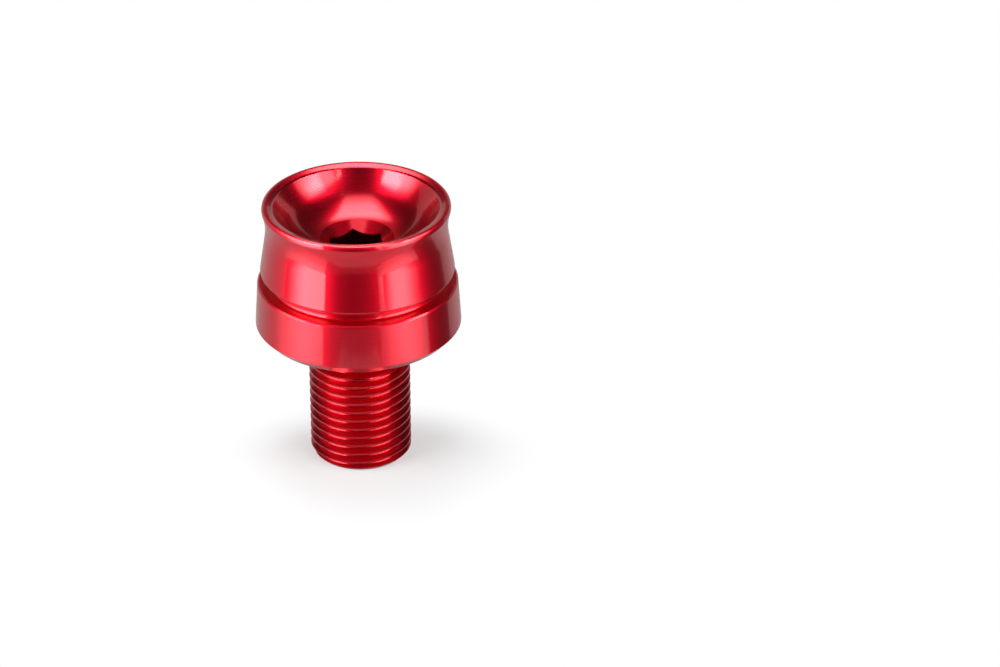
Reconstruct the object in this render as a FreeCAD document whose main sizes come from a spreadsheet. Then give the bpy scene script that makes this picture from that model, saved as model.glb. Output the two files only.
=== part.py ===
import FreeCAD, Part
import math
import os
import Sketcher

# Handlebar end weight, turned in one piece from aluminium bar.
# The weight stands on the end of its stud. Z runs up the axis, with zero at the stud's end face.
# A profile is drawn in the XZ plane, with its first coordinate across from the axis
# and its second one up the axis, in millimetres.

SIZES = [
    ("stud_diameter", 15.85, "over the crests of the M16 x 1.5 thread"),
    ("stud_length", 22.1, "from the end face up to the shoulder under the head"),
    ("stud_end_chamfer", 0.8, "lead-in at the stud's end"),
    ("neck_depth", 1.075, "relief between the thread and the shoulder, in from the crests"),
    ("neck_length", 4.2, "straight part of the relief, down from the shoulder"),
    ("neck_runout_angle", 45, "slope from the relief out to the thread, from the axis"),
    ("neck_root_chamfer", 0.5, "slope in the corner where the neck meets the shoulder"),
    ("skirt_diameter", 32.2, "foot of the skirt, before its chamfer"),
    ("skirt_draw", 0.55, "how far the skirt comes in towards its top, on the radius"),
    ("skirt_height", 8.27, "from the shoulder up to the skirt's top edge"),
    ("skirt_bottom_chamfer", 1.28, "lower outer edge of the skirt"),
    ("skirt_top_chamfer", 0.22, "upper outer edge of the skirt"),
    ("cone_step", 0.44, "from the skirt's top edge in to the foot of the cone, on the radius"),
    ("waist_width", 1.76, "open width of the groove between the skirt and the cone"),
    ("waist_depth", 0.76, "floor of that groove, in from the foot of the cone"),
    ("cone_base_chamfer", 0.2, "lower edge of the cone"),
    ("cone_height", 6.5, "straight part of the cone"),
    ("cone_taper", 8.9, "slope of the cone, from the axis"),
    ("flare_height", 4.0, "hollow flare from the cone out to the rim"),
    ("flare_overhang", 0.46, "how far the rim stands out past the top of the cone"),
    ("rim_land", 1.04, "height of the rim before its edge is rounded"),
    ("rim_width", 1.67, "from the outside of the rim in to the mouth of the dish"),
    ("rim_dip", 0.56, "how far the rim's top falls towards the dish"),
    ("rim_outer_round", 0.62, "top outer edge of the rim"),
    ("rim_under_round", 0.55, "lower outer edge of the rim, where the flare ends"),
    ("rim_inner_round", 0.25, "edge between the rim and the dish"),
    ("dish_wall_angle", 50, "slope of the dish's straight wall, down from level"),
    ("dish_wall_length", 3.7, "length of that wall along its slope"),
    ("dish_arc_radius", 7.7, "hollow curve from the wall towards the socket"),
    ("socket_flats", 8.0, "across the flats of the hexagon"),
    ("socket_mouth_margin", 1.13, "from the hexagon's corners out to the edge of the countersink"),
    ("socket_mouth_angle", 90, "included angle of the countersink"),
    ("socket_depth", 10.5, "hexagon, down from its mouth"),
    ("socket_turn", 37.8, "direction of one corner of the hexagon, from the X axis"),
    ("pilot_margin", 0.1, "how far the hole drilled before the hexagon lies inside the flats"),
    ("pilot_extra", 1.5, "how much deeper than the hexagon that hole is"),
    ("pilot_point_angle", 118, "included angle left by the drill's point"),
    ("cutter_reach", 1.0, "how far a turned cut starts outside the metal"),
]

# Places in every sketch, as its constraints take them, and the direction out of its plane.
ORIGIN = (-1, 1)
UP_AXIS = (-2,)
START = 1
END = 2
CENTRE = 3
FULL_TURN = 360
HEXAGON_SIDES = 6
HEXAGON_STEP = 2 * math.pi / HEXAGON_SIDES
OUT_OF_SKETCH = FreeCAD.Vector(0, 0, 1)
NEAR = 1e-4

# The most of a narrow wall that the break of one of its edges takes.
EDGE_SHARE = 0.6

doc = FreeCAD.newDocument("bar_end_weight")


# Driving sizes, one row each: what it is, its value, its note.
def make_sheet():
    sheet = doc.addObject("Spreadsheet::Sheet", "sizes")
    for row, (name, value, note) in enumerate(SIZES, start=1):
        sheet.set(f"A{row}", name)
        sheet.set(f"B{row}", str(value))
        sheet.set(f"C{row}", note)
        sheet.setAlias(f"B{row}", name)
    doc.recompute()
    return sheet


sizes = make_sheet()

# Levels up the axis and radii that several cuts share, worked out from the sheet.
SHOULDER = "sizes.stud_length"
SKIRT_TOP = f"({SHOULDER} + sizes.skirt_height)"
CONE_BASE = f"({SKIRT_TOP} + sizes.waist_width)"
CONE_TOP = f"({CONE_BASE} + sizes.cone_height)"
RIM_FOOT = f"({CONE_TOP} + sizes.flare_height)"
RIM_TOP = f"({RIM_FOOT} + sizes.rim_land)"
DISH_MOUTH = f"({RIM_TOP} - sizes.rim_dip)"
STUD_RADIUS = "(sizes.stud_diameter / 2)"
NECK_RADIUS = f"({STUD_RADIUS} - sizes.neck_depth)"
SKIRT_RADIUS = "(sizes.skirt_diameter / 2)"
SKIRT_TOP_RADIUS = f"({SKIRT_RADIUS} - sizes.skirt_draw)"
CONE_BASE_RADIUS = f"({SKIRT_TOP_RADIUS} - sizes.cone_step)"
WAIST_RADIUS = f"({CONE_BASE_RADIUS} - sizes.waist_depth)"
CONE_TOP_RADIUS = f"({CONE_BASE_RADIUS} - sizes.cone_height * tan(sizes.cone_taper * 1 deg))"
RIM_RADIUS = f"({CONE_TOP_RADIUS} + sizes.flare_overhang)"
MOUTH_RADIUS = f"({RIM_RADIUS} - sizes.rim_width)"
HEXAGON_CORNER = "(sizes.socket_flats / sqrt(3))"
SOCKET_MOUTH_RADIUS = f"({HEXAGON_CORNER} + sizes.socket_mouth_margin)"
PILOT_RADIUS = "(sizes.socket_flats / 2 - sizes.pilot_margin)"
SOCKET_MOUTH = "dish_outline.Constraints.socket_mouth_level"


def number(expression):
    found = sizes.evalExpression(expression.replace("sizes.", ""))
    return float(getattr(found, "Value", found))


def vector(across, up):
    return FreeCAD.Vector(across, up, 0)


def polar(radius, angle):
    return vector(radius * math.cos(angle), radius * math.sin(angle))


def origin_plane(body, role):
    return next(item for item in body.Origin.OriginFeatures if item.Role == role)


# A sketch on one of the body's own planes, lifted up the axis if a level is given.
def new_sketch(body, name, role, level=None):
    sketch = body.newObject("Sketcher::SketchObject", name)
    sketch.AttachmentSupport = [(origin_plane(body, role), "")]
    sketch.MapMode = "FlatFace"
    if level:
        sketch.setExpression("AttachmentOffset.Base.z", level)
    return sketch


# One dimension from the sketch's origin, or along one line or arc, bound to the sheet.
def dimension(sketch, label, expression, kind, *places):
    value = number(expression)
    if kind == "Angle":
        value = math.radians(value)
    index = sketch.addConstraint(Sketcher.Constraint(kind, *places, value))
    sketch.renameConstraint(index, label)
    sketch.setExpression(f"Constraints.{label}", expression)


def fix_point(sketch, label, point, across, up):
    if across == "0":
        sketch.addConstraint(Sketcher.Constraint("PointOnObject", *point, *UP_AXIS))
    else:
        dimension(sketch, f"{label}_across", across, "DistanceX", *ORIGIN, *point)
    if up:
        dimension(sketch, f"{label}_up", up, "DistanceY", *ORIGIN, *point)


# The arc from start to end about a centre, the shorter way, and which of its ends is the start.
def short_arc(centre, start, end):
    to_start = start - centre
    to_end = end - centre
    circle = Part.Circle(centre, OUT_OF_SKETCH, to_start.Length)
    first = math.atan2(to_start.y, to_start.x)
    last = math.atan2(to_end.y, to_end.x)
    if to_start.cross(to_end).z > 0:
        return Part.ArcOfCircle(circle, first, last), (START, END)
    return Part.ArcOfCircle(circle, last, first), (END, START)


# Centre of the arc that leaves start along a heading and passes through end.
def centre_from_heading(start, end, heading):
    side = vector(-heading.y, heading.x).normalize()
    chord = end - start
    return start + side * (chord.dot(chord) / (2 * chord.dot(side)))


# Centre of the arc of this radius that leaves start along a heading and turns to the right.
def centre_from_radius(start, heading, radius):
    return start + vector(heading.y, -heading.x).normalize() * radius


# Brings the corners after a bend to the level where its arc ends.
def settle(places, names, centre, radius):
    reach = places[names[0]].x - centre.x
    level = centre.y - math.sqrt(radius ** 2 - reach ** 2)
    for name in names:
        places[name].y = level


# Closed outline through named corners. Each corner gives its place across and up as expressions,
# and one with no level lies level with the corner before it.
# A bend names the corner where an arc leaves the line before it smoothly, to the next corner.
# A bend with a radius brings the next corner to its own level.
def draw_outline(sketch, corners, bends, rounds):
    names = list(corners)
    places = {}
    curves = []
    for name, (across, up) in corners.items():
        level = number(up) if up else places[names[len(places) - 1]].y
        places[name] = vector(number(across), level)
    for index, name in enumerate(names):
        after = names[(index + 1) % len(names)]
        if name not in bends:
            curves.append((Part.LineSegment(places[name], places[after]), (START, END)))
            continue
        heading = places[name] - places[names[index - 1]]
        if bends[name]:
            centre = centre_from_radius(places[name], heading, number(bends[name]))
            settle(places, names[index + 1:], centre, number(bends[name]))
        else:
            centre = centre_from_heading(places[name], places[after], heading)
        curves.append(short_arc(centre, places[name], places[after]))
    pieces = [sketch.addGeometry(curve) for curve, ends in curves]
    for index, name in enumerate(names):
        start = (pieces[index], curves[index][1][0])
        meeting = (pieces[index - 1], curves[index - 1][1][1])
        across, up = corners[name]
        kind = "Tangent" if name in bends else "Coincident"
        sketch.addConstraint(Sketcher.Constraint(kind, *meeting, *start))
        fix_point(sketch, name, start, across, up)
        if not up and names[index - 1] not in bends:
            sketch.addConstraint(Sketcher.Constraint("Horizontal", pieces[index - 1]))
        if bends.get(name):
            dimension(sketch, f"{name}_radius", bends[name], "Radius", pieces[index])
        if not up and names[index - 1] in bends:
            measure = sketch.addConstraint(
                Sketcher.Constraint("DistanceY", *ORIGIN, *start, places[name].y))
            sketch.setDriving(measure, False)
            sketch.renameConstraint(measure, f"{name}_level")
    for name, radius in rounds.items():
        piece = names.index(name)
        round_corner(sketch, name, (pieces[piece], curves[piece][1][0]), radius)


# Rounds one corner. The corner stays as a point, which its dimensions still hold.
def round_corner(sketch, name, corner, radius):
    arc = sketch.GeometryCount
    sketch.fillet(*corner, number(radius), True, True)
    dimension(sketch, f"{name}_round", radius, "Radius", arc)


def add_circle(sketch, label, radius):
    ring = sketch.addGeometry(Part.Circle(vector(0, 0), OUT_OF_SKETCH, number(radius)))
    sketch.addConstraint(Sketcher.Constraint("Coincident", ring, CENTRE, *ORIGIN))
    dimension(sketch, label, radius, "Radius", ring)
    return ring


# Regular hexagon about the sketch's origin, with one corner in the given direction, in degrees.
def add_hexagon(sketch, radius, direction):
    circle = add_circle(sketch, "corner_radius", radius)
    sketch.toggleConstruction(circle)
    first = math.radians(number(direction))
    points = [polar(number(radius), first + side * HEXAGON_STEP) for side in range(HEXAGON_SIDES)]
    sides = [
        sketch.addGeometry(Part.LineSegment(point, points[(index + 1) % HEXAGON_SIDES]))
        for index, point in enumerate(points)
    ]
    for index, side in enumerate(sides):
        sketch.addConstraint(Sketcher.Constraint("Coincident", sides[index - 1], END, side, START))
        sketch.addConstraint(Sketcher.Constraint("PointOnObject", side, START, circle))
        if index:
            sketch.addConstraint(Sketcher.Constraint("Equal", sides[0], side))
    spoke = sketch.addGeometry(Part.LineSegment(vector(0, 0), points[0]), True)
    sketch.addConstraint(Sketcher.Constraint("Coincident", spoke, START, *ORIGIN))
    sketch.addConstraint(Sketcher.Constraint("Coincident", spoke, END, sides[0], START))
    dimension(sketch, "corner_direction", direction, "Angle", spoke)


# Stops if a cut points away from the metal or removes nothing.
def finish_cut(feature, sketch):
    sketch.Visibility = False
    doc.recompute()
    if feature.Shape.Volume > feature.BaseFeature.Shape.Volume - NEAR:
        raise RuntimeError(f"{feature.Name} cuts nothing")


# A profile turned all the way round the axis, added to the body or cut from it.
def turn(body, kind, name, corners, bends=None, rounds=None):
    outline = new_sketch(body, f"{name}_outline", "XZ_Plane")
    draw_outline(outline, corners, bends or {}, rounds or {})
    feature = body.newObject(kind, name)
    feature.Profile = outline
    feature.ReferenceAxis = (outline, ["V_Axis"])
    feature.Angle = FULL_TURN
    if kind.endswith("Groove"):
        finish_cut(feature, outline)
    doc.recompute()


# Every full edge round the axis with this radius, at this level.
def ring_edges(feature, radius, level):
    centre = FreeCAD.Vector(0, 0, number(level))
    names = []
    for index, edge in enumerate(feature.Shape.Edges, start=1):
        curve = edge.Curve
        if not isinstance(curve, Part.Circle):
            continue
        if curve.Center.isEqual(centre, NEAR) and abs(curve.Radius - number(radius)) < NEAR:
            names.append(f"Edge{index}")
    if not names:
        raise RuntimeError(f"{feature.Name} has no edge of radius {radius} at level {level}")
    return names


# Breaks the last feature's edges at the given rings, by a chamfer or a fillet.
def break_edges(body, kind, name, rings, size):
    base = body.Tip
    edges = [edge for radius, level in rings for edge in ring_edges(base, radius, level)]
    feature = body.newObject(kind, name)
    feature.Base = (base, edges)
    feature.setExpression("Size" if kind.endswith("Chamfer") else "Radius", size)
    doc.recompute()


# An edge's chamfer or fillet, no larger than the wall beside it leaves room for.
def limited(size, wall):
    return f"min({size}; {EDGE_SHARE} * {wall})"


# Every object has to be in order, and the body one closed solid, before it is written.
def save(body):
    for item in doc.Objects:
        if "Invalid" in item.State or "Error" in item.State:
            raise RuntimeError(f"{item.Name} failed: {item.State}")
    shape = body.Shape
    if shape.isNull() or not shape.isValid() or len(shape.Solids) != 1:
        raise RuntimeError(f"{body.Label} isn't one valid solid")
    os.makedirs("parts", exist_ok=True)
    shape.exportStep(f"parts/{body.Label}.step")
    print(f"{body.Label}: {shape.Volume:.1f} mm3")


# Skirt, cone, flare and rim, up to the mouth of the dish.
# The land between the rim's two outer edges limits their rounds.
def turn_head(body):
    corners = {
        "shoulder_middle": ("0", SHOULDER),
        "skirt_foot": (SKIRT_RADIUS, SHOULDER),
        "skirt_head": (SKIRT_TOP_RADIUS, SKIRT_TOP),
        "cone_step": (CONE_BASE_RADIUS, SKIRT_TOP),
        "cone_foot": (CONE_BASE_RADIUS, CONE_BASE),
        "cone_head": (CONE_TOP_RADIUS, CONE_TOP),
        "rim_foot": (RIM_RADIUS, RIM_FOOT),
        "rim_head": (RIM_RADIUS, RIM_TOP),
        "dish_mouth": (MOUTH_RADIUS, DISH_MOUTH),
        "mouth_middle": ("0", DISH_MOUTH),
    }
    bends = {"cone_head": None}
    rounds = {"rim_head": limited("sizes.rim_outer_round", "sizes.rim_land")}
    turn(body, "PartDesign::Revolution", "head", corners, bends, rounds)
    break_edges(
        body, "PartDesign::Fillet", "rim_under_edge", [(RIM_RADIUS, RIM_FOOT)],
        limited("sizes.rim_under_round", "sizes.rim_land"),
    )
    break_edges(
        body, "PartDesign::Chamfer", "skirt_bottom_edge", [(SKIRT_RADIUS, SHOULDER)],
        "sizes.skirt_bottom_chamfer",
    )
    break_edges(
        body, "PartDesign::Chamfer", "skirt_top_edge", [(SKIRT_TOP_RADIUS, SKIRT_TOP)],
        limited("sizes.skirt_top_chamfer", "sizes.cone_step"),
    )


# The stud is a plain round bar here; its thread lies within this outside diameter.
def add_stud(body):
    section = new_sketch(body, "stud_section", "XY_Plane")
    add_circle(section, "stud_radius", STUD_RADIUS)
    stud = body.newObject("PartDesign::Pad", "stud")
    stud.Profile = section
    stud.setExpression("Length", SHOULDER)
    doc.recompute()
    break_edges(
        body, "PartDesign::Chamfer", "stud_end_edge", [(STUD_RADIUS, "0")], "sizes.stud_end_chamfer",
    )


# Relief below the shoulder, where the threading tool runs out.
def turn_neck(body):
    outside = f"({STUD_RADIUS} + sizes.cutter_reach)"
    runout = f"({outside} - {NECK_RADIUS}) / tan(sizes.neck_runout_angle * 1 deg)"
    corners = {
        "neck_top": (NECK_RADIUS, SHOULDER),
        "neck_bottom": (NECK_RADIUS, f"{SHOULDER} - sizes.neck_length"),
        "runout_end": (outside, f"{SHOULDER} - sizes.neck_length - {runout}"),
        "cutter_side": (outside, SHOULDER),
    }
    turn(body, "PartDesign::Groove", "neck", corners)
    break_edges(
        body, "PartDesign::Chamfer", "neck_root", [(NECK_RADIUS, SHOULDER)],
        "sizes.neck_root_chamfer",
    )


# Groove between the skirt and the cone.
def turn_waist(body):
    outside = f"({SKIRT_RADIUS} + sizes.cutter_reach)"
    corners = {
        "waist_low": (WAIST_RADIUS, SKIRT_TOP),
        "open_low": (outside, SKIRT_TOP),
        "open_high": (outside, CONE_BASE),
        "waist_high": (WAIST_RADIUS, CONE_BASE),
    }
    turn(body, "PartDesign::Groove", "waist", corners)
    break_edges(
        body, "PartDesign::Chamfer", "cone_base_edge", [(CONE_BASE_RADIUS, CONE_BASE)],
        limited("sizes.cone_base_chamfer", "sizes.waist_depth"),
    )


# Dish with a straight wall that runs into a hollow floor, down to the mouth of the socket.
# The level of that mouth follows from the arc, so the dish's own sketch measures it.
def turn_dish(body):
    wall_across = f"({MOUTH_RADIUS} - sizes.dish_wall_length * cos(sizes.dish_wall_angle * 1 deg))"
    wall_up = f"({DISH_MOUTH} - sizes.dish_wall_length * sin(sizes.dish_wall_angle * 1 deg))"
    corners = {
        "mouth_middle": ("0", DISH_MOUTH),
        "dish_mouth": (MOUTH_RADIUS, DISH_MOUTH),
        "wall_foot": (wall_across, wall_up),
        "socket_mouth": (SOCKET_MOUTH_RADIUS, None),
        "floor_middle": ("0", None),
    }
    turn(body, "PartDesign::Groove", "dish", corners, {"wall_foot": "sizes.dish_arc_radius"})
    break_edges(
        body, "PartDesign::Fillet", "rim_inner_edge", [(MOUTH_RADIUS, DISH_MOUTH)],
        "sizes.rim_inner_round",
    )


# Countersunk pilot hole, drilled past the bottom of the hexagon.
def drill_pilot(body):
    centre = new_sketch(body, "pilot_centre", "XY_Plane", SOCKET_MOUTH)
    add_circle(centre, "pilot_radius", PILOT_RADIUS)
    doc.recompute()
    pilot = body.newObject("PartDesign::Hole", "pilot_hole")
    pilot.Profile = centre
    pilot.ThreadType = "None"
    pilot.DepthType = "Dimension"
    pilot.DrillPoint = "Angled"
    pilot.DrillForDepth = False
    pilot.HoleCutType = "Countersink"
    pilot.HoleCutCustomValues = True
    pilot.setExpression("Diameter", f"2 * {PILOT_RADIUS}")
    pilot.setExpression("Depth", "sizes.socket_depth + sizes.pilot_extra")
    pilot.setExpression("DrillPointAngle", "sizes.pilot_point_angle")
    pilot.setExpression("HoleCutDiameter", f"2 * {SOCKET_MOUTH_RADIUS}")
    pilot.setExpression("HoleCutCountersinkAngle", "sizes.socket_mouth_angle")
    finish_cut(pilot, centre)


# Hexagon for the key, cut down through the countersink.
def cut_hexagon(body):
    section = new_sketch(body, "hexagon_section", "XY_Plane", SOCKET_MOUTH)
    add_hexagon(section, HEXAGON_CORNER, "sizes.socket_turn")
    hexagon = body.newObject("PartDesign::Pocket", "hexagon_socket")
    hexagon.Profile = section
    hexagon.setExpression("Length", "sizes.socket_depth")
    finish_cut(hexagon, section)


body = doc.addObject("PartDesign::Body", "bar_end_weight")
body.Label = "bar_end_weight"
turn_head(body)
add_stud(body)
turn_neck(body)
turn_waist(body)
turn_dish(body)
drill_pilot(body)
cut_hexagon(body)
save(body)
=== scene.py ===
import math

import bmesh
import bpy
from mathutils import Matrix, Vector


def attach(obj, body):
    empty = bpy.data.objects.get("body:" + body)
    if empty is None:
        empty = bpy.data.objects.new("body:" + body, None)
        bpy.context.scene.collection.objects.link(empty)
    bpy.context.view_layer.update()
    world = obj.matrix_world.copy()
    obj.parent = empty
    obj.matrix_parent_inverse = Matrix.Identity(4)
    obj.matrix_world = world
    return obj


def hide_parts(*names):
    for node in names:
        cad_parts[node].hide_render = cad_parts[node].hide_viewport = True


# Handlebar end weight in red anodised aluminium, standing on its threaded stud.
# Sizes are in millimetres, across from the axis and up from the stud's end face.

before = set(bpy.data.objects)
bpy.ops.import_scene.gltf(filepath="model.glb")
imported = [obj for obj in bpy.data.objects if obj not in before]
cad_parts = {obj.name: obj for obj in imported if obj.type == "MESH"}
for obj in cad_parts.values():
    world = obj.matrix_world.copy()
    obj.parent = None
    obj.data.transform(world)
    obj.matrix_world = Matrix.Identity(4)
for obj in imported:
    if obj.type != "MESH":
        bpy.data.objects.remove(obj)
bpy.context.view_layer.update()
mm = 0.001
columns = 192  # round the axis; a multiple of six, so the hexagon's corners fall on columns
weldReach = 0.000001  # points closer than this, in metres, become one
print("frame loaded")


def place(across, up):
    return Vector((across * mm, 0, up * mm))


# An outline in the XZ plane, drawn corner by corner and softened at the end.
class Outline:
    def __init__(self, bm, across, up):
        self.bm = bm
        self.tip = bm.verts.new(place(across, up))
        self.rounds = []

    def line(self, across, up, radius=0):
        corner = self.bm.verts.new(place(across, up))
        self.bm.edges.new((self.tip, corner))
        self.tip = corner
        self.round(radius)

    def round(self, radius):  # the corner at the tip
        if radius:
            self.rounds.append((self.tip, radius))

    def arc(self, across, up, turn, steps):  # about a centre, clockwise as seen from the front
        made = bmesh.ops.spin(
            self.bm, geom=[self.tip], cent=place(across, up), axis=(0, 1, 0),
            angle=turn, steps=steps, use_duplicate=False)
        self.tip = made["geom_last"][0]

    def soften(self, segments):
        for corner, radius in self.rounds:
            ways = [edge.other_vert(corner).co - corner.co for edge in corner.link_edges]
            reach = radius * mm / math.tan(ways[0].angle(ways[1]) / 2)
            bmesh.ops.bevel(
                self.bm, geom=[corner], offset=reach, offset_type="OFFSET",
                segments=segments, profile=0.5, affect="VERTICES", material=-1)

    def hold(self, margin, shortest):  # a point near each end of a long run keeps its shading straight
        longRuns = [edge for edge in self.bm.edges if edge.calc_length() > shortest * mm]
        for edge in longRuns:
            first, last = edge.verts
            share = margin * mm / edge.calc_length()
            made, point = bmesh.utils.edge_split(edge, first, share)
            rest = next(item for item in point.link_edges if last in item.verts)
            bmesh.utils.edge_split(rest, last, margin * mm / rest.calc_length())


def turnAll(bm, rise=0):  # a full turn about the axis, or a screw's turn if it rises
    bmesh.ops.spin(
        bm, geom=bm.verts[:] + bm.edges[:], cent=(0, 0, 0), axis=(0, 0, 1),
        dvec=(0, 0, rise * mm / columns), angle=math.tau, steps=columns,
        use_merge=not rise, use_duplicate=False)
    bmesh.ops.remove_doubles(bm, verts=bm.verts[:], dist=weldReach)


weight = {
    "neckRadius": 6.85, "neckStart": 17.9, "headStart": 18.06, "neckRound": 0.5, "shoulder": 22.1,
    "skirtRadius": 16.095, "skirtDraw": 0.55, "skirtFootChamfer": 1.28, "skirtEdgeChamfer": 0.26,
    "edgeRound": 0.08,
    "grooveFoot": 30.37, "grooveRadius": 13.5, "grooveRound": 0.5,
    "coneFoot": 32.13, "coneFootRadius": 15.11, "coneFootRound": 0.35,
    "coneTop": 38.0, "coneTaper": 8.9,
    "flareOverhang": 0.36, "flareTop": 42.63, "flareSteps": 18,
    "rimTop": 43.66, "rimWidth": 1.67, "rimDip": 0.56,
    "rimUnderRound": 0.55, "rimOuterRound": 0.62, "rimInnerRound": 0.6,
    "wallAngle": 56, "wallTurn": 8, "wallLength": 3.7, "wallSteps": 10, "dishSteps": 18,
    "socketMouth": 5.748, "socketLevel": 37.61, "sinkAngle": 40, "roundBore": 4.3,
    "socketFlats": 8.0, "socketEnd": 27.109, "socketTurn": 37.8,
    "pilotRadius": 3.9, "pilotDepth": 1.5, "pilotPointAngle": 118,
    "roundSteps": 4, "holdMargin": 0.04, "longRun": 0.24, "sharpAngle": 30,
}


# The turned head, from the neck up over the skirt, groove, cone and rim, and down into the dish.
def turnHead(s):
    bm = bmesh.new()
    edge = s["edgeRound"]
    outline = Outline(bm, s["neckRadius"], s["headStart"])
    outline.line(s["neckRadius"], s["shoulder"], s["neckRound"])

    draw = s["skirtDraw"] / (s["grooveFoot"] - s["shoulder"])
    wide = s["shoulder"] + s["skirtFootChamfer"]
    top = s["grooveFoot"] - s["skirtEdgeChamfer"]
    outline.line(s["skirtRadius"] - s["skirtFootChamfer"], s["shoulder"], edge)
    outline.line(s["skirtRadius"] - draw * s["skirtFootChamfer"], wide, edge)
    outline.line(s["skirtRadius"] - draw * (top - s["shoulder"]), top, edge)
    outline.line(s["skirtRadius"] - s["skirtDraw"] - s["skirtEdgeChamfer"], s["grooveFoot"], edge)
    outline.line(s["grooveRadius"], s["grooveFoot"], s["grooveRound"])
    outline.line(s["grooveRadius"], s["coneFoot"], s["grooveRound"])
    outline.line(s["coneFootRadius"], s["coneFoot"], s["coneFootRound"])

    taper = math.radians(s["coneTaper"])
    coneTopRadius = s["coneFootRadius"] - math.tan(taper) * (s["coneTop"] - s["coneFoot"])
    flareHeight = s["flareTop"] - s["coneTop"]
    chord = Vector((s["flareOverhang"], flareHeight))
    flareRadius = chord.length_squared / 2 / chord.dot(Vector((math.cos(taper), math.sin(taper))))
    flareTurn = 2 * (taper + math.atan(s["flareOverhang"] / flareHeight))
    flareAcross = coneTopRadius + flareRadius * math.cos(taper)
    flareUp = s["coneTop"] + flareRadius * math.sin(taper)
    outline.line(coneTopRadius, s["coneTop"])
    outline.arc(flareAcross, flareUp, flareTurn, s["flareSteps"])
    outline.round(s["rimUnderRound"])

    rimRadius = coneTopRadius + s["flareOverhang"]
    mouthRadius = rimRadius - s["rimWidth"]
    mouth = s["rimTop"] - s["rimDip"]
    outline.line(rimRadius, s["rimTop"], s["rimOuterRound"])
    outline.line(mouthRadius, mouth, s["rimInnerRound"])

    slope = math.radians(s["wallAngle"])
    turn = math.radians(s["wallTurn"])
    wallRadius = s["wallLength"] / turn
    wallAcross = mouthRadius - wallRadius * math.sin(slope)
    wallUp = mouth + wallRadius * math.cos(slope)
    outline.arc(wallAcross, wallUp, turn, s["wallSteps"])
    slope -= turn
    wallFoot = Vector((wallAcross + wallRadius * math.sin(slope), wallUp - wallRadius * math.cos(slope)))
    chord = Vector((s["socketMouth"], s["socketLevel"])) - wallFoot
    inward = Vector((-math.sin(slope), math.cos(slope)))
    dishRadius = chord.length_squared / 2 / chord.dot(inward)
    centre = wallFoot + inward * dishRadius
    dishTurn = 2 * (slope - math.atan2(-chord.y, -chord.x))
    outline.arc(centre.x, centre.y, dishTurn, s["dishSteps"])

    mouthLevel = outline.tip.co.z / mm
    sink = math.tan(math.radians(s["sinkAngle"]))
    outline.line(s["roundBore"], mouthLevel - sink * (s["socketMouth"] - s["roundBore"]))
    outline.line(s["roundBore"], s["socketEnd"])
    outline.line(s["pilotRadius"], s["socketEnd"])
    outline.line(s["pilotRadius"], s["socketEnd"] - s["pilotDepth"])
    pointDepth = s["pilotRadius"] / math.tan(math.radians(s["pilotPointAngle"] / 2))
    outline.line(0, s["socketEnd"] - s["pilotDepth"] - pointDepth)

    outline.soften(s["roundSteps"])
    outline.hold(s["holdMargin"], s["longRun"])
    turnAll(bm)
    shapeSocket(bm, s, mouthLevel)
    return bm


# The round bore under the countersink becomes a hexagon, and the countersink runs down to its sides.
def shapeSocket(bm, s, mouthLevel):
    side = math.pi / 3
    sink = math.tan(math.radians(s["sinkAngle"]))

    def countersink(radius):
        return mouthLevel - sink * (s["socketMouth"] - radius)

    for vert in bm.verts:
        radius = vert.co.xy.length / mm
        level = vert.co.z / mm
        if s["pilotRadius"] + s["holdMargin"] < radius <= s["socketMouth"] and level < mouthLevel:
            flat = s["socketFlats"] / 2 / math.cos(math.atan2(vert.co.y, vert.co.x) % side - side / 2)
            share = (radius - s["roundBore"]) / (s["socketMouth"] - s["roundBore"])
            reach = flat + share * (s["socketMouth"] - flat)
            depth = (level - s["socketEnd"]) / (countersink(radius) - s["socketEnd"])
            vert.co.xy *= reach / radius
            vert.co.z = (s["socketEnd"] + depth * (countersink(reach) - s["socketEnd"])) * mm
    turn = Matrix.Rotation(math.radians(s["socketTurn"]), 3, "Z")
    bmesh.ops.rotate(bm, verts=bm.verts[:], cent=(0, 0, 0), matrix=turn)


thread = {
    "radius": 7.925, "pitch": 1.5, "crest": 0.24, "rootRound": 0.2165, "flankAngle": 30,
    "frontCrest": 0.28,  # a crest's height over the end face, on the side that faces the camera
    "turnsBefore": 2.75,  # the outline is drawn three quarters of a turn before the front, two turns low
    "endChamfer": 0.8, "end": 16.825, "flankCuts": 3, "roundSteps": 5,
}


# The stud's screw thread, cut to its chamfered end and to its runout into the neck.
def cutThread(s, neck):
    bm = bmesh.new()
    crest = s["frontCrest"] - s["turnsBefore"] * s["pitch"]
    depth = (s["pitch"] - s["crest"]) / 2 / math.tan(math.radians(s["flankAngle"]))
    outline = Outline(bm, s["radius"], crest - s["crest"] / 2)
    while outline.tip.co.z < (neck["neckStart"] + s["pitch"]) * mm:
        outline.line(s["radius"], crest + s["crest"] / 2)
        outline.line(s["radius"] - depth, crest + s["pitch"] / 2, s["rootRound"])
        outline.line(s["radius"], crest + s["pitch"] - s["crest"] / 2)
        crest += s["pitch"]
    outline.soften(s["roundSteps"])
    flanks = [edge for edge in bm.edges if edge.calc_length() > s["pitch"] / 3 * mm]
    bmesh.ops.subdivide_edges(bm, edges=flanks, cuts=s["flankCuts"])
    turnAll(bm, s["pitch"])
    for vert in bm.verts:
        level = vert.co.z / mm
        limit = min(s["radius"] - s["endChamfer"] + level, s["radius"] + s["end"] - level)
        limit = max(limit, neck["neckRadius"])
        vert.co.xy *= min(1, limit * mm / vert.co.xy.length)
    return bm


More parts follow.
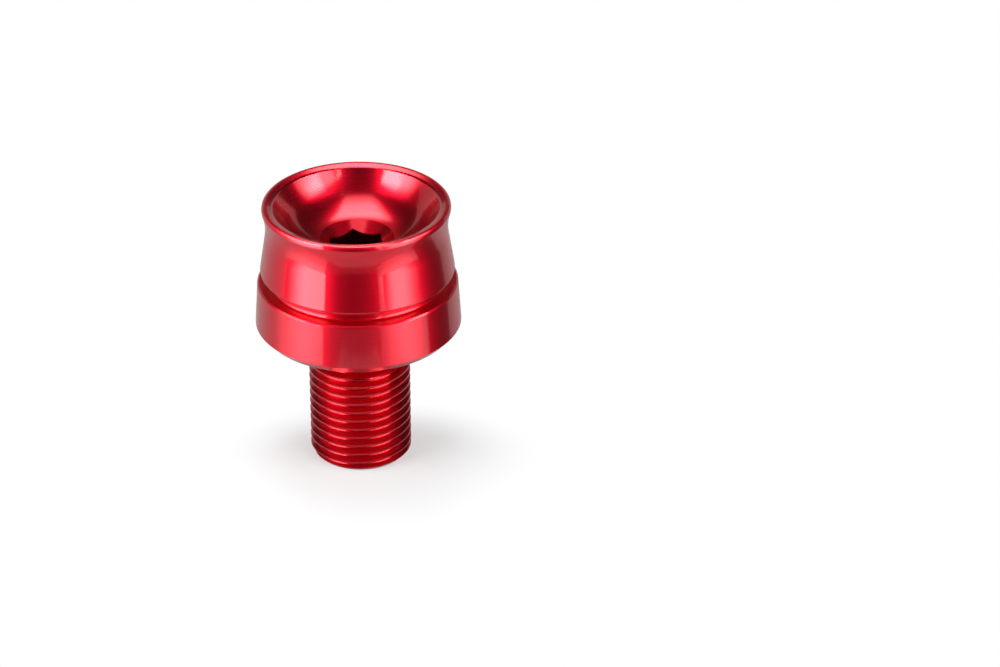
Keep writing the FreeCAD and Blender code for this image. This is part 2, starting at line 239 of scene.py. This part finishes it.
# Takes away what lies over or under a level, and gives the rim of the cut.
def cutAt(bm, level, upper):
    made = bmesh.ops.bisect_plane(
        bm, geom=bm.verts[:] + bm.edges[:] + bm.faces[:], dist=weldReach / 10,
        plane_co=(0, 0, level * mm), plane_no=(0, 0, 1), clear_outer=upper, clear_inner=not upper)
    return [item for item in made["geom_cut"] if isinstance(item, bmesh.types.BMEdge)]


# The stud is closed at its end face, and its upper rim is bridged to the neck's.
def makeWeight():
    bm = cutThread(thread, weight)
    bmesh.ops.contextual_create(bm, geom=cutAt(bm, 0, False))
    cutAt(bm, weight["neckStart"] + weight["holdMargin"], True)
    head = turnHead(weight)
    headMesh = bpy.data.meshes.new("head")
    head.to_mesh(headMesh)
    head.free()
    bm.from_mesh(headMesh)
    bpy.data.meshes.remove(headMesh)
    openEdges = [edge for edge in bm.edges if edge.is_boundary]
    bmesh.ops.bridge_loops(bm, edges=openEdges)
    bmesh.ops.recalc_face_normals(bm, faces=bm.faces[:])
    mesh = bpy.data.meshes.new("turnedWeight")
    bm.to_mesh(mesh)
    bm.free()
    mesh.shade_smooth()
    mesh.set_sharp_from_angle(angle=math.radians(weight["sharpAngle"]))
    piece = bpy.data.objects.new("turnedWeight", mesh)
    bpy.context.scene.collection.objects.link(piece)
    return piece


turnedWeight = makeWeight()
print("weight modelled", len(turnedWeight.data.polygons), "faces")


# A socket of a material. Sums and comparisons on it add Math nodes.
class Shade:
    def __init__(self, tree, socket=None):
        self.tree = tree
        self.socket = socket

    def node(self, kind, settings, inputs, output=0):
        made = self.tree.nodes.new("ShaderNode" + kind)
        for name, value in settings.items():
            setattr(made, name, value)
        for name, value in inputs.items():
            if isinstance(value, Shade):
                self.tree.links.new(value.socket, made.inputs[name])
            else:
                made.inputs[name].default_value = value
        return Shade(self.tree, made.outputs[output] if made.outputs else None)

    def maths(self, operation, *values):
        return self.node("Math", {"operation": operation}, dict(enumerate(values)))

    def __add__(self, other):
        return self.maths("ADD", self, other)

    def __sub__(self, other):
        return self.maths("SUBTRACT", self, other)

    def __rsub__(self, other):
        return self.maths("SUBTRACT", other, self)

    def __mul__(self, other):
        return self.maths("MULTIPLY", self, other)

    def __gt__(self, other):
        return self.maths("GREATER_THAN", self, other)

    def __lt__(self, other):
        return self.maths("LESS_THAN", self, other)

    __radd__ = __add__
    __rmul__ = __mul__


def emptyMaterial(name):
    material = bpy.data.materials.new(name)
    material.use_nodes = True
    material.node_tree.nodes.clear()
    return material, Shade(material.node_tree)


# A material's lengths are in metres, as Object coordinates are.
anodised = {
    "colour": (0.68, 0.004, 0.02, 1), "deepColour": (0.6, 0.003, 0.017, 1),
    # The socket's dark colour is painted shade for the deep hexagon recess.
    "socketPaintedShade": (0.2, 0.002, 0.005, 1),
    "roughness": 0.38, "fineRoughness": 0.28, "coat": 0.8, "coatRoughness": 0.08,
    "ringsPerMetre": 20000, "cloudsPerMetre": 20000 / 6, "ringSlant": 1.4,
    "ringHeight": 0.0000004, "ringRoughness": 0.06,
    "dishInside": 0.0295, "neckFoot": 0.0182,
    "socketRadius": 0.0048, "socketFloor": 0.02, "sinkSlope": 0.8, "sinkLevel": 0.0327,
}


# Turning rings all over, smoother in the dish and on the stud, with shade painted down in the socket: a
# dark colour and no coat stand in for the shade of the deep recess.
def redAnodised(s):
    material, shade = emptyMaterial("redAnodised")
    point = shade.node("TexCoord", {}, {}, "Object")
    flat = shade.node("VectorMath", {"operation": "MULTIPLY"}, {0: point, 1: (1, 1, 0)})
    across = shade.node("VectorMath", {"operation": "LENGTH"}, {0: flat}, "Value")
    up = shade.node("SeparateXYZ", {}, {0: point}, "Z")
    along = up + across * s["ringSlant"]
    rings = shade.node("TexNoise", {"noise_dimensions": "1D"}, {
        "W": along * s["ringsPerMetre"], "Scale": 1, "Detail": 2, "Roughness": 0.6})
    cloud = shade.node("TexNoise", {"noise_dimensions": "1D"}, {
        "W": along * s["cloudsPerMetre"], "Scale": 1, "Detail": 1})
    # Painted shade: inside the socket the colour turns dark and the coat is taken off, standing in for the
    # shade deep in the hexagon.
    underSink = up - across * s["sinkSlope"] < s["sinkLevel"]
    socket = (across < s["socketRadius"]) * (up > s["socketFloor"]) * underSink
    fine = (up - across > s["dishInside"]) + (up < s["neckFoot"])
    coarse = rings * s["ringRoughness"] + (s["roughness"] - s["ringRoughness"] / 2)
    roughness = coarse - fine * (s["roughness"] - s["fineRoughness"])
    outside = shade.node("Mix", {"data_type": "RGBA"}, {
        "Factor": cloud, 6: s["deepColour"], 7: s["colour"]}, 2)
    colour = shade.node("Mix", {"data_type": "RGBA"}, {
        "Factor": socket, 6: outside, 7: s["socketPaintedShade"]}, 2)
    bump = shade.node("Bump", {}, {"Height": rings, "Distance": s["ringHeight"], "Strength": 1})
    shader = shade.node("BsdfPrincipled", {}, {
        "Base Color": colour, "Metallic": 1, "Roughness": roughness, "Normal": bump,
        "Coat Weight": s["coat"] * (1 - socket), "Coat Roughness": s["coatRoughness"]})
    shade.node("OutputMaterial", {}, {"Surface": shader})
    return material


turnedWeight.data.materials.append(redAnodised(anodised))
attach(turnedWeight, "root")
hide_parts("bar_end_weight")
print("weight finished in red")


# A flat sheet of the studio, by its corners in millimetres.
def addStage(name, corners, material):
    bm = bmesh.new()
    bm.faces.new([bm.verts.new(Vector(corner) * mm) for corner in corners])
    mesh = bpy.data.meshes.new(name)
    bm.to_mesh(mesh)
    bm.free()
    mesh.materials.append(material)
    sheet = bpy.data.objects.new(name, mesh)
    bpy.context.scene.collection.objects.link(sheet)
    return sheet


table = {
    "corners": [(-24, -78), (24, -78), (45, -30), (45, 70), (-45, 70), (-45, -30)],
    "level": -0.01,  # just under the stud's end face
    "colour": (0.4, 0.415, 0.415, 1), "cameraLift": 0.385,
    "shadowCentre": (0.002, -0.01, 0), "shadowSpread": (1, 1.2, 1),
    "fadeStart": 0.017, "fadeEnd": 0.03,
}


# The table is lifted for the camera and fades to the white of the room, so only its soft shadow shows.
def whiteTable(s):
    material, shade = emptyMaterial("whiteTable")
    point = shade.node("TexCoord", {}, {}, "Object")
    offset = shade.node("VectorMath", {"operation": "SUBTRACT"}, {0: point, 1: s["shadowCentre"]})
    spread = shade.node("VectorMath", {"operation": "MULTIPLY"}, {0: offset, 1: s["shadowSpread"]})
    distance = shade.node("VectorMath", {"operation": "LENGTH"}, {0: spread}, "Value")
    far = shade.node("MapRange", {"interpolation_type": "SMOOTHSTEP"}, {
        "Value": distance, "From Min": s["fadeStart"], "From Max": s["fadeEnd"]})
    camera = shade.node("LightPath", {}, {}, "Is Camera Ray")
    matt = shade.node("BsdfDiffuse", {}, {"Color": s["colour"]})
    lift = shade.node("Emission", {}, {"Strength": s["cameraLift"]})
    white = shade.node("Emission", {}, {"Strength": 1})
    lifted = shade.node("AddShader", {}, {0: matt, 1: lift})
    seen = shade.node("MixShader", {}, {0: far, 1: lifted, 2: white})
    shader = shade.node("MixShader", {}, {0: camera, 1: matt, 2: seen})
    shade.node("OutputMaterial", {}, {"Surface": shader})
    return material


addStage("table", [(x, y, table["level"]) for x, y in table["corners"]], whiteTable(table))

blackCard = {
    "corners": [(46, -16, 0), (46, -16, 60), (42, 9, 60), (42, 9, 0)], "colour": (0.02, 0.02, 0.02, 1),
}


# A black card at the right, seen only in the metal.
def hangCard(s):
    material, shade = emptyMaterial("blackCard")
    black = shade.node("BsdfDiffuse", {}, {"Color": s["colour"]})
    shade.node("OutputMaterial", {}, {"Surface": black})
    card = addStage("blackCard", s["corners"], material)
    card.visible_camera = False
    card.visible_shadow = False
    card.visible_diffuse = False


hangCard(blackCard)
print("table and card in place")

# Each lamp has the middle of its face, the way it faces, its two sides in millimetres and its glow.
# A fade runs from full to nothing between two levels of a sum of x, y and z, also in millimetres.
# A lamp with glossOnly shows in the metal and leaves the table's shadow alone.
lamps = {
    "leftPanel": {
        "centre": (-125, -70, 127.5), "facing": (1, 0, 0), "sides": (220, 285), "glow": 6.6,
        "fades": [((0, 1, -0.5), -74, -6), ((0, -1, 0.2), 156, 170), ((0, 0.8, 1), 120, 150)]},
    "leftLower": {
        "centre": (-125, -60, -60), "facing": (1, 0, 0), "sides": (190, 90), "glow": 1.8,
        "fades": [((0, 1, 0), -80, 35), ((0, 0, -1), 25, 70)]},
    "leftDeep": {
        "centre": (-124, -60, -65), "facing": (1, 0, 0), "sides": (190, 100), "glow": 1.2,
        "fades": [((0, 1, 0), -80, 35)]},
    "leftHot": {
        "centre": (-124, -71, 170), "facing": (1, 0, 0), "sides": (130, 120), "glow": 7, "glossOnly": True,
        "fades": [((0, 0, -1), -150, -112), ((0, 0.8, 1), 120, 150),
                  ((0, 1, 0), -35, -8), ((0, -1, 0), 98, 136)]},
    "rightHot": {
        "centre": (119, -32, 170), "facing": (-1, 0, 0), "sides": (104, 120), "glow": 7, "glossOnly": True,
        "fades": [((0, 0, -1), -150, -112), ((0, 0.8, 1), 120, 150),
                  ((0, 1, 0), 0, 20), ((0, -1, 0), 50, 84)]},
    "rightPanel": {
        "centre": (120, -97, 127.5), "facing": (-1, 0, 0), "sides": (244, 285), "glow": 5.1,
        "fades": [((0, 1, -0.7), -105, -35), ((0, -1, 0), 125, 215), ((0, 0.8, 1), 120, 150)]},
    "rightFar": {
        "centre": (120, -207, 67.5), "facing": (-1, 0, 0), "sides": (140, 165), "glow": 2.5,
        "fades": [((0, 1, 0), -170, -137)]},
    "rightHigh": {
        "centre": (120, -218, 250), "facing": (-1, 0, 0), "sides": (146, 200), "glow": 5.2,
        "fades": [((0, 1, 0), -175, -145), ((0, -1, 0), 262, 290), ((0, 0.8, 1), 120, 150)]},
    "rightLower": {
        "centre": (120, -147, -60), "facing": (-1, 0, 0), "sides": (258, 90), "glow": 1.4,
        "fades": [((0, 1, 0), -100, 15), ((0, -1, 0), 90, 400), ((0, 0, -1), 25, 70)]},
    "rightDeep": {
        "centre": (119, -147, -65), "facing": (-1, 0, 0), "sides": (258, 100), "glow": 1.2,
        "fades": [((0, 1, 0), -100, 15), ((0, -1, 0), 90, 400)]},
    "topPanel": {
        "centre": (-18, 70, 250), "facing": (0, 0, -1), "sides": (154, 360), "glow": 5.6,
        "fades": [((0, -1, 0), -50, 108), ((0, 1, 0), 112, 240),
                  ((1, 0, 0), 35, 57), ((-1, 0, 0), 45, 95)]},
    "topFront": {
        "centre": (-10, -95, 250), "facing": (0, 0, -1), "sides": (150, 50), "glow": 1.2,
        "fades": [((0, -1, 0), 84, 120)]},
}


def hangLamp(name, s):
    light = bpy.data.lights.new(name, "AREA")
    light.shape = "RECTANGLE"
    light.size = s["sides"][0] * mm
    light.size_y = s["sides"][1] * mm
    light.energy = s["glow"] * math.pi * light.size * light.size_y
    light.use_nodes = True
    light.node_tree.nodes.clear()
    shade = Shade(light.node_tree)
    point = shade.node("NewGeometry", {}, {}, "Position")
    share = 1
    for way, full, nothing in s["fades"]:
        along = shade.node("VectorMath", {"operation": "DOT_PRODUCT"}, {0: point, 1: way}, "Value")
        share = share * shade.node("MapRange", {"interpolation_type": "SMOOTHSTEP"}, {
            "Value": along, "From Min": full * mm, "From Max": nothing * mm, "To Min": 1, "To Max": 0})
    colour = shade.node("CombineColor", {}, {"Red": share, "Green": share, "Blue": share})
    glow = shade.node("Emission", {}, {"Color": colour})
    shade.node("OutputLight", {}, {"Surface": glow})
    lamp = bpy.data.objects.new(name, light)
    lamp.location = Vector(s["centre"]) * mm
    lamp.rotation_euler = Vector(s["facing"]).to_track_quat("-Z", "Y").to_euler()
    lamp.visible_camera = False
    lamp.visible_diffuse = not s.get("glossOnly")
    bpy.context.scene.collection.objects.link(lamp)


for name, settings in lamps.items():
    hangLamp(name, settings)
print(len(lamps), "lamps hung")

# The metal sees a dark room, paler behind and underfoot. The bounds are parts of a view direction.
room = {
    "colour": (0.03, 0.03, 0.03, 1), "floorColour": (0.25, 0.25, 0.25, 1), "backColour": (0.5, 0.5, 0.5, 1),
    "floorTop": -0.32, "backStart": 0.05, "backTop": 0.38, "backRight": 0.8,
}


def fillWorld(s):
    world = bpy.data.worlds.new("studioWorld")
    bpy.context.scene.world = world
    world.use_nodes = True
    world.node_tree.nodes.clear()
    shade = Shade(world.node_tree)
    way = shade.node("TexCoord", {}, {}, "Generated")
    side = shade.node("SeparateXYZ", {}, {0: way}, "X")
    depth = shade.node("SeparateXYZ", {}, {0: way}, "Y")
    up = shade.node("SeparateXYZ", {}, {0: way}, "Z")
    camera = shade.node("LightPath", {}, {}, "Is Camera Ray")
    behind = (depth > s["backStart"]) * (up < s["backTop"]) * (side < s["backRight"])
    front = shade.node("Mix", {"data_type": "RGBA"}, {
        "Factor": up < s["floorTop"], 6: s["colour"], 7: s["floorColour"]}, 2)
    walls = shade.node("Mix", {"data_type": "RGBA"}, {"Factor": behind, 6: front, 7: s["backColour"]}, 2)
    surround = shade.node("Background", {}, {"Color": walls})
    white = shade.node("Background", {}, {"Color": (1, 1, 1, 1)})
    shader = shade.node("MixShader", {}, {0: camera, 1: surround, 2: white})
    shade.node("OutputWorld", {}, {"Surface": shader})


fillWorld(room)

# The distance is in metres, the angles in degrees, and the lens and the sensor in millimetres.
view = {
    "distance": 0.5852507, "elevation": 31.1765, "tilt": 60.5495, "swing": -2.52,
    "lens": 132.46, "sensorWidth": 36,
}


def setCamera(s):
    camera = bpy.data.cameras.new("camera")
    camera.lens = s["lens"]
    camera.sensor_width = s["sensorWidth"]
    rig = bpy.data.objects.new("camera", camera)
    elevation = math.radians(s["elevation"])
    rig.location = (0, -s["distance"] * math.cos(elevation), s["distance"] * math.sin(elevation))
    rig.rotation_euler = (math.radians(s["tilt"]), 0, math.radians(s["swing"]))
    bpy.context.scene.collection.objects.link(rig)
    bpy.context.scene.camera = rig


setCamera(view)
bpy.context.scene.view_settings.view_transform = "Standard"
print("room and camera set")
